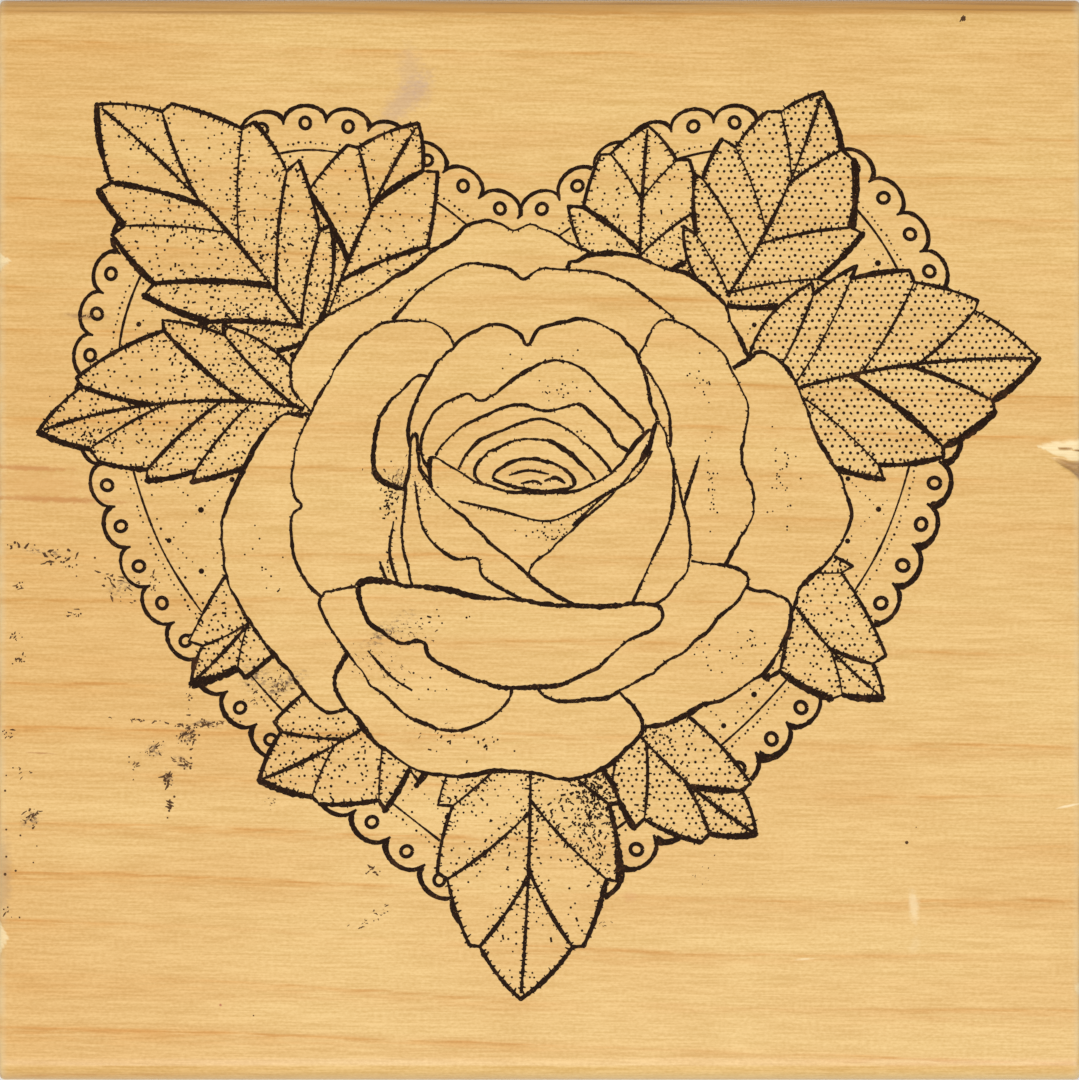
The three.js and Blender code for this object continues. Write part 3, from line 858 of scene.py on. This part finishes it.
def rubber_die(shown, material):
    """The die's web, and the drawing again as ridges and studs that hang from it."""
    web = Bodies()
    levels = (  # height, and how far the trimmed edge draws in there
        (RELIEF_HEIGHT, 0.22), (RELIEF_HEIGHT + 0.12, 0.05),
        (DIE_HIGH[2] - 0.1, 0.0), (DIE_HIGH[2], 0.06),
    )
    web.tube([flat_loop(trimmed(0.15 + tuck, 5), level) for level, tuck in levels])
    piece = web.piece("die_web", material, "die_rubber", smooth_angle=50)
    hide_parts("rubber_die")
    root = RELIEF_HEIGHT + RELIEF_ROOT
    drawn_pieces("die_relief_", shown, material, "die_rubber", 0, RELIEF_WAVER, root, RELIEF_FLARE, 6)


# ---------- materials
GRAIN_TURN = 0.7  # how many degrees the grain runs downhill from X


class Look:
    """A node material, built by short calls. Values may be numbers, colours or another node's output."""

    def __init__(self, name):
        self.material = bpy.data.materials.new(name)
        self.material.use_nodes = True
        self.tree = self.material.node_tree
        self.shader = self.tree.nodes["Principled BSDF"]

    def node(self, kind, values=None, **settings):
        made = self.tree.nodes.new("ShaderNode" + kind)
        for key, value in settings.items():
            setattr(made, key, value)
        for key, value in (values or {}).items():
            self.set(made.inputs[key], value)
        return made

    def set(self, socket, value):
        if isinstance(value, bpy.types.NodeSocket):
            self.tree.links.new(value, socket)
        else:
            socket.default_value = value

    def math(self, operation, a, b=0.0):
        return self.node("Math", {0: a, 1: b}, operation=operation).outputs[0]

    def vector(self, operation, a, b=(0, 0, 0), output="Vector"):
        return self.node("VectorMath", {0: a, 1: b}, operation=operation).outputs[output]

    def turned(self, vector, degrees):
        values = {"Vector": vector, "Angle": math.radians(degrees)}
        return self.node("VectorRotate", values, rotation_type="Z_AXIS").outputs[0]

    def place(self, scale=(1, 1, 1), turn=0.0):
        """Object coordinates in millimetres, turned about Z by degrees and then multiplied by a scale."""
        here = self.node("TexCoord").outputs["Object"]
        if turn:
            here = self.turned(here, turn)
        return self.vector("MULTIPLY", here, tuple(s / MM for s in scale))

    def axes(self, turn=0.0):
        """The coordinates in millimetres, as three numbers."""
        return self.node("SeparateXYZ", {0: self.place(turn=turn)}).outputs[:3]

    def noise(self, scale, detail=2.0, roughness=0.5):
        """Noise along the grain; the scale is in waves to a millimetre along X, Y and Z."""
        place = self.place(scale, GRAIN_TURN)
        values = {"Vector": place, "Scale": 1.0, "Detail": detail, "Roughness": roughness}
        return self.node("TexNoise", values).outputs[0]

    def spread(self, value, low, high, to_low=0.0, to_high=1.0):
        values = {0: value, 1: low, 2: high, 3: to_low, 4: to_high}
        return self.node("MapRange", values, interpolation_type="SMOOTHSTEP").outputs[0]

    def weigh(self, start, *terms):
        """A start value plus, for each (value, weight, middle), the weight times value less middle."""
        total = start
        for value, weight, middle in terms:
            values = {0: self.math("SUBTRACT", value, middle), 1: weight, 2: total}
            total = self.node("Math", values, operation="MULTIPLY_ADD").outputs[0]
        return total

    def spot(self, centre, sizes, turn, broken):
        """A ragged ellipse seen from above: 1 in its middle, 0 outside."""
        offset = self.vector("ADD", self.place(), (-centre[0], -centre[1], 0))
        scaled = self.vector("MULTIPLY", self.turned(offset, -turn), (1 / sizes[0], 1 / sizes[1], 0))
        reach = self.vector("LENGTH", scaled, output="Value")
        return self.spread(self.weigh(reach, (broken, 1.6, 0.5)), 1.25, 0.25)

    def mix(self, share, a, b, blend="MIX"):
        made = self.node("Mix", data_type="RGBA", blend_type=blend)
        for index, value in ((0, share), (6, a), (7, b)):
            self.set(made.inputs[index], value)
        return made.outputs[2]

    def coat(self, under, color, *shares):
        """A colour over another, as strongly as the product of the shares."""
        share = shares[0]
        for other in shares[1:]:
            share = self.math("MULTIPLY", share, other)
        return self.mix(share, under, color)

    def ramp(self, value, stops):
        made = self.node("ValToRGB", {0: value})
        elements = made.color_ramp.elements
        while len(elements) < len(stops):
            elements.new(0.5)
        for element, (at, color) in zip(elements, stops):
            element.position = at
            element.color = color
        return made.outputs[0]

    def bump(self, height, distance, strength=1.0):
        values = {"Height": height, "Distance": distance * MM, "Strength": strength}
        self.set(self.shader.inputs["Normal"], self.node("Bump", values).outputs[0])

    def shade(self, **values):
        for key, value in values.items():
            self.set(self.shader.inputs[key.replace("_", " ")], value)
        return self.material


def srgb(red, green, blue):
    """A colour from 0 to 255 display values, as linear values."""
    line = [c / 255 for c in (red, green, blue)]
    return tuple(c / 12.92 if c <= 0.04045 else ((c + 0.055) / 1.055) ** 2.4 for c in line) + (1.0,)


PITH = (-150.0, -100.0)  # where the tree's middle lay, across and up from the block's top
RING_PITCH = 3.2
WOOD_TONES = [  # from early wood to late wood
    (0.0, srgb(232, 201, 136)), (0.3, srgb(228, 191, 126)), (0.5, srgb(223, 181, 115)),
    (0.75, srgb(217, 168, 97)), (1.0, srgb(208, 151, 76)),
]
WHITE = (1, 1, 1, 1)
FIBRE_SHADE = (0.825, 0.76, 0.60, 1)  # what the darkest fibres multiply the wood's colour by
END_TONES = [(0.3, srgb(206, 161, 96)), (0.7, srgb(174, 124, 68))]
END_RING = srgb(158, 106, 54)
# partly a real stain, partly painted shade on the edge that faces away from the key light
EDGE_STAIN_AND_SHADE = srgb(196, 142, 70)
EDGE_STREAK = srgb(152, 106, 54)
WORN_END = srgb(214, 190, 146)
# painted shade: the duller tone of the front edge's outer strip, where the light falls off
FRONT_EDGE_SHADE = srgb(196, 170, 124)
BARE_WOOD = srgb(240, 219, 172)
BARE_ROUGHNESS = (0.8, 0.8, 0.8, 1)
# grime together with painted shade, for the chips' hollows and cracks
GRIME_AND_SHADE_WOOD = srgb(146, 104, 62)
# One growth ring from its inner side to its outer: how far towards the dark late wood.
RING = [
    (0.0, 0.14), (0.1, 0.0), (0.5, 0.05), (0.75, 0.3), (0.9, 0.6), (0.94, 1.0), (0.965, 0.6), (1.0, 0.14),
]

# Faint marks on the top: place, half length and half width, turn in degrees, colour, strength.
PALE = srgb(240, 219, 176)
LILAC = srgb(176, 148, 142)
HAZE = srgb(98, 72, 54)
MARKS = [
    ((31.8, -31.1), (1.5, 0.5), 94, PALE, 0.5), ((22.6, -35.6), (0.8, 0.1), 3, PALE, 0.6),
    ((44.9, -22.6), (1.3, 0.12), 12, PALE, 0.8), ((31.9, -34.4), (0.9, 0.5), 70, PALE, 0.15),
    ((-11.5, 37.3), (3.2, 1.2), 48, LILAC, 0.34), ((-11.0, 39.8), (2.4, 1.2), 95, LILAC, 0.2),
    ((-9.8, 38.2), (1.8, 0.9), 80, LILAC, 0.16),
    ((-45.5, -28.5), (4.0, 0.7), 90, srgb(176, 140, 94), 0.5),
    ((7.7, -30.3), (0.7, 0.5), 0, srgb(200, 140, 90), 0.3),
    ((-27.1, -39.5), (0.16, 0.12), 0, srgb(160, 56, 38), 0.8),
    ((-38.6, 19.0), (2.0, 0.3), -4, srgb(136, 92, 56), 0.5),
    ((-42.5, -18.1), (1.4, 0.09), -3, srgb(172, 116, 60), 0.7),
    ((-43.2, 6.1), (3.8, 0.26), -2, srgb(188, 126, 64), 0.8),
    ((-41.2, 3.45), (6.6, 0.3), -2, srgb(186, 126, 62), 0.9),
    ((-42.6, 4.6), (5.4, 1.7), -3, srgb(206, 150, 82), 0.4),
]
# Places where handling left a film of ink: place, half sizes, turn in degrees.
HAZED = [
    ((-29.9, -16.7), (0.9, 0.8), 50), ((-30.3, -18.9), (0.8, 0.5), -30), ((-31.6, -20.3), (0.5, 0.8), 20),
    ((-32.7, -17.8), (0.8, 0.6), 30), ((-28.2, -15.6), (1.6, 0.35), 0), ((-43.2, -23.7), (0.9, 0.6), 30),
    ((-22.2, -12.5), (1.0, 0.8), 30), ((-35.6, -4.0), (1.1, 0.6), 20), ((-42.2, -1.0), (1.9, 0.3), -8),
    ((-11.8, 4.9), (0.6, 1.4), 0), ((-12.8, -7.6), (2.6, 0.8), 35), ((-21.0, -12.0), (1.4, 0.7), 35),
    ((-24.2, -11.6), (1.4, 1.2), 0),
]


def maple():
    look = Look("lacquered_maple")
    x, y, z = look.axes()
    rings = growth_rings(look)
    bands = look.noise((0.011, 0.33, 0.33), 3.0, 0.62)
    hair = look.noise((0.25, 5.0, 5.0), 1.0, 0.6)
    fibre = look.noise((0.07, 1.5, 1.5), 1.0, 0.5)
    wood = long_grain(look, x, rings, bands, hair, fibre)
    wood = end_grain(look, wood, rings)
    wood = stained_and_shaded_edge(look, wood, y, z)
    wood = worn_ends_and_shaded_front(look, wood, x, y, z)
    wood = marked_top(look, wood, z)

    bare = look.node("Attribute", attribute_name="bare").outputs["Fac"]
    grime = look.node("Attribute", attribute_name="grime").outputs["Fac"]
    splinters = look.spread(look.noise((0.4, 6.0, 6.0), 2.0), 0.3, 0.7, 0.7, 1.0)
    wood = look.coat(wood, BARE_WOOD, bare, splinters)
    # the chips' hollows and cracks get grime and painted shade
    wood = look.coat(wood, GRIME_AND_SHADE_WOOD, grime, splinters)
    look.bump(look.weigh(0, (bands, 0.3, 0), (fibre, 0.5, 0), (hair, 0.4, 0)), 0.03, 0.12)
    roughness = look.mix(bare, look.spread(fibre, 0.3, 0.7, 0.36, 0.46), BARE_ROUGHNESS)
    return look.shade(
        Base_Color=wood, Roughness=roughness, Specular_IOR_Level=0.3, Coat_Weight=0.1, Coat_Roughness=0.3,
    )


def growth_rings(look):
    """How much late wood there is at each point: rings around the pith, swaying along the grain."""
    y, z = look.axes(GRAIN_TURN)[1:]
    across = look.math("SUBTRACT", y, PITH[0])
    up = look.math("SUBTRACT", z, TOP + PITH[1])
    squares = look.math("ADD", look.math("MULTIPLY", across, across), look.math("MULTIPLY", up, up))
    sway, wave = look.noise((0.008, 0.03, 0.03), 1.0), look.noise((0.05, 0.5, 0.5), 3.0, 0.6)
    radius = look.weigh(0, (look.math("SQRT", squares), 1, 0), (sway, 6, 0), (wave, 0.7, 0))
    phase = look.math("FRACT", look.math("MULTIPLY", radius, 1 / RING_PITCH))
    late = look.ramp(phase, [(at, (dark, dark, dark, 1)) for at, dark in RING])
    strength = look.spread(look.noise((0.025, 0.15, 0.15), 2.0), 0.4, 0.64, 0.05, 1.0)
    return look.math("MULTIPLY", late, strength)


def long_grain(look, x, rings, bands, hair, fibre):
    """The wood's colour along the grain: ragged rings, broad bands, clouds, and fine fibres over all."""
    ragged = look.spread(look.noise((0.3, 3.4, 3.4), 2.0), 0.3, 0.64, 0.2, 1.15)
    late = look.math("MULTIPLY", rings, ragged)
    cloud = look.noise((0.05, 0.10, 0.10), 2.0, 0.55)
    darker_end = look.spread(x, 0.3 * BLOCK_LOW[0], BLOCK_LOW[0])
    tone = look.weigh(
        0.43, (late, 0.56, 0.14), (bands, 0.46, 0.5), (cloud, 0.5, 0.5), (darker_end, 0.12, 0),
    )
    speck = look.noise((2.8, 4.8, 4.8), 1.0, 0.6)
    bright = look.weigh(0.5, (speck, 1.5, 0.5), (hair, 1.9, 0.5), (fibre, 0.8, 0.5))
    fibres = look.mix(bright, FIBRE_SHADE, WHITE)
    return look.mix(1.0, look.ramp(tone, WOOD_TONES), fibres, "MULTIPLY")


def end_grain(look, wood, rings):
    """Pores and unbroken rings where the surface faces along the grain."""
    facing = look.node("SeparateXYZ", {0: look.node("NewGeometry").outputs["True Normal"]}).outputs[0]
    end = look.spread(look.math("ABSOLUTE", facing), 0.35, 0.9)
    pores = look.noise((1.0, 7.0, 7.0), 2.0, 0.7)
    return look.mix(end, wood, look.coat(look.ramp(pores, END_TONES), END_RING, rings, 0.8))


def stained_and_shaded_edge(look, wood, y, z):
    """The dark tone and its streaks on the rounded upper edge at the top of the design: partly a real
    stain, partly painted shade where that edge faces away from the key light.
    """
    inner_line = BLOCK_HIGH[1] - CROWN_RUN
    across = look.spread(y, inner_line - 0.1, inner_line + 0.35)
    edge = look.math("MULTIPLY", across, look.spread(z, TOP - 4.5, TOP - 1.6))
    stain_and_shade = look.spread(look.noise((0.04, 1.4, 1.4), 2.0), 0.25, 0.75, 0.45, 1.0)
    streaks = look.spread(look.noise((0.03, 2.4, 2.4), 3.0, 0.6), 0.48, 0.66, 0.0, 0.6)
    # painted shade together with a stain on the edge that faces away from the key light
    wood = look.coat(wood, EDGE_STAIN_AND_SHADE, edge, stain_and_shade)
    return look.coat(wood, EDGE_STREAK, edge, streaks)


def worn_ends_and_shaded_front(look, wood, x, y, z):
    """Paler wood along both sawn ends' upper edges, and painted shade on the front edge's outer strip,
    where the light falls off.
    """
    wear = look.spread(look.noise((0.4, 0.5, 0.5), 2.0), 0.3, 0.7, 0.25, 0.65)
    end = look.spread(look.math("ABSOLUTE", x), BLOCK_HIGH[0] - 0.9, BLOCK_HIGH[0] - 0.1, 0.0, wear)
    front = look.spread(y, -BLOCK_HIGH[1] + 0.9, -BLOCK_HIGH[1] + 0.2, 0.0, 0.4)
    wood = look.coat(wood, WORN_END, end, look.spread(z, TOP - 2.5, TOP - 1.0))
    # painted shade on the front edge's outer strip
    return look.coat(wood, FRONT_EDGE_SHADE, front, look.spread(z, TOP - 4.5, TOP - 2.5))


def marked_top(look, wood, z):
    """The faint marks and the films of ink on the top."""
    top = look.spread(z, TOP - 0.7, TOP - 0.2)
    broken = look.noise((1.6, 3.2, 1.0), 3.0, 0.7)
    for centre, sizes, turn, color, strength in MARKS:
        wood = look.coat(wood, color, look.spot(centre, sizes, turn, broken), top, strength)
    film = look.spread(look.noise((2.2, 3.6, 1.0), 3.0, 0.65), 0.47, 0.6, 0.0, 0.8)
    for centre, sizes, turn in HAZED:
        wood = look.coat(wood, HAZE, look.spot(centre, sizes, turn, broken), top, film)
    return wood


FRESH_INK, THIN_INK = srgb(31, 14, 2), srgb(78, 48, 26)
SMUDGED_INK, FADED_INK = srgb(80, 54, 32), srgb(146, 106, 66)
INK_GAP = srgb(170, 122, 68)  # where the wood shows through the ink
RUBBER_TONES = (srgb(150, 52, 44), srgb(176, 72, 60))
INK_RESIDUE = srgb(62, 40, 34)
# darker for the cells' hollows and lighter for their rims: painted shade in the hollows
FOAM_HOLLOW_SHADE_TONES = (srgb(150, 147, 140), srgb(196, 192, 184))
FOAM_GRIME = srgb(120, 117, 111)
GLUE_TONES = (srgb(206, 184, 138), srgb(232, 214, 172))
FLOOR_TONES = (srgb(214, 213, 210), srgb(222, 221, 218))


def ink(name, fresh, worn_out):
    look = Look(name)
    worn = look.spread(look.noise((0.5, 0.6, 0.6), 4.0, 0.75), 0.52, 0.78, 0.0, 0.8)
    thin = look.spread(look.noise((7.0, 9.0, 9.0), 1.0), 0.68, 0.76, 0.0, 0.5)
    color = look.coat(look.mix(worn, fresh, worn_out), INK_GAP, thin)
    look.bump(look.noise((6, 8, 8)), 0.01, 0.4)
    return look.shade(Base_Color=color, Roughness=0.6, Specular_IOR_Level=0.08)


def rubber():
    look = Look("red_rubber")
    z = look.axes()[2]
    color = look.mix(look.noise((0.15, 0.15, 0.3), 3.0), *RUBBER_TONES)
    near_paper = look.spread(z, 0.25, 0.02)
    color = look.coat(color, INK_RESIDUE, near_paper, look.spread(look.noise((0.3, 0.3, 0.3)), 0.3, 0.6))
    grain = look.noise((6, 6, 6), 3.0, 0.6)
    look.bump(grain, 0.03, 0.4)
    return look.shade(Base_Color=color, Roughness=look.spread(grain, 0.2, 0.8, 0.55, 0.72))


def foam():
    look = Look("cushion_foam")
    cells = look.node("TexVoronoi", {"Vector": look.place(), "Scale": 3.2}, feature="F1")
    fine = look.noise((7, 7, 7), 2.0)
    depth = look.spread(cells.outputs["Distance"], 0.05, 0.65)
    # painted shade: the cells' hollows, low in the bump, get the darker tone
    color = look.coat(look.mix(depth, *FOAM_HOLLOW_SHADE_TONES), FOAM_GRIME, look.spread(fine, 0.4, 0.7, 0.0, 0.3))
    look.bump(look.math("ADD", depth, look.math("MULTIPLY", fine, 0.4)), 0.12, 0.8)
    return look.shade(Base_Color=color, Roughness=0.9)


def adhesive():
    look = Look("adhesive_film")
    streaks = look.noise((0.3, 1.2, 6.0), 2.0)
    look.bump(streaks, 0.03, 0.5)
    return look.shade(
        Base_Color=look.mix(streaks, *GLUE_TONES), Roughness=look.spread(streaks, 0.2, 0.8, 0.25, 0.45),
    )


def paper():
    look = Look("studio_floor")
    color = look.mix(look.noise((0.01, 0.01, 0.01), 3.0), *FLOOR_TONES)
    return look.shade(Base_Color=color, Roughness=0.85)


# ---------- the studio, in metres
VIEW_WIDTH = 91.75  # how many millimetres of the block's top the picture spans
LENS = 200.0
SENSOR = 36.0
CLIP = (0.01, 20)
SOFTBOXES = (  # name, place, size, power
    ("key", (0.12, -1.05, 2.25), 1.1, 38.0),
    ("fill", (-0.9, 1.5, 1.7), 1.4, 14.5),
)
AMBIENT_COLOR = (1.0, 0.99, 0.97, 1)
AMBIENT_STRENGTH = 0.48
FLOOR_REACH = 3.0


def camera():
    data = bpy.data.cameras.new("camera")
    data.lens = LENS
    data.sensor_width = SENSOR
    data.clip_start, data.clip_end = CLIP
    made = bpy.data.objects.new("camera", data)
    made.location = (0, 0, (TOP + VIEW_WIDTH * LENS / SENSOR) * MM)
    bpy.context.scene.collection.objects.link(made)
    bpy.context.scene.camera = made


def soft_light(name, place, size, power):
    """A square softbox, aimed at the middle of the block."""
    data = bpy.data.lights.new(name, "AREA")
    data.size = size
    data.energy = power
    made = bpy.data.objects.new(name, data)
    made.location = place
    made.rotation_euler = (-made.location).to_track_quat("-Z", "Y").to_euler()
    bpy.context.scene.collection.objects.link(made)


def studio():
    scene = bpy.context.scene
    scene.view_settings.view_transform = "Standard"
    world = bpy.data.worlds.new("studio")
    world.use_nodes = True
    background = world.node_tree.nodes["Background"].inputs
    background[0].default_value = AMBIENT_COLOR
    background[1].default_value = AMBIENT_STRENGTH
    scene.world = world
    for facts in SOFTBOXES:
        soft_light(*facts)
    corners = [(x * FLOOR_REACH, y * FLOOR_REACH, 0) for x, y in ((-1, -1), (1, -1), (1, 1), (-1, 1))]
    mesh = bpy.data.meshes.new("floor")
    mesh.from_pydata(corners, [], [(0, 1, 2, 3)])
    mesh.materials.append(paper())
    floor = bpy.data.objects.new("floor", mesh)
    scene.collection.objects.link(floor)


# ---------- building
# Each sheet's edge: share of its height, and how far the edge draws in there.
BLOCK_FILM_EDGE = [(0, 0), (1, 0.05)]
DIE_FILM_EDGE = [(0, 0.05), (1, 0)]
CUSHION_EDGE = [(0, 0.1), (0.04, 0.0), (0.25, 0.1), (0.5, 0.16), (0.75, 0.1), (0.96, 0.0), (1, 0.1)]

camera()
studio()
shown = drawing()
wood_block(maple())
index_print(shown, ink("index_ink", FRESH_INK, THIN_INK))
stray_ink(ink("smudged_ink", SMUDGED_INK, FADED_INK))
glue = adhesive()
layer_piece("block_adhesive", "block_adhesive_film", glue, "adhesive", BLOCK_FILM_EDGE, 11)
cushion = layer_piece("foam_pad", "foam_cushion", foam(), "foam", CUSHION_EDGE, 13, inset=0.3)
layer_piece("die_adhesive", "die_adhesive_film", glue, "adhesive", DIE_FILM_EDGE, 17)
rubber_die(shown, rubber())
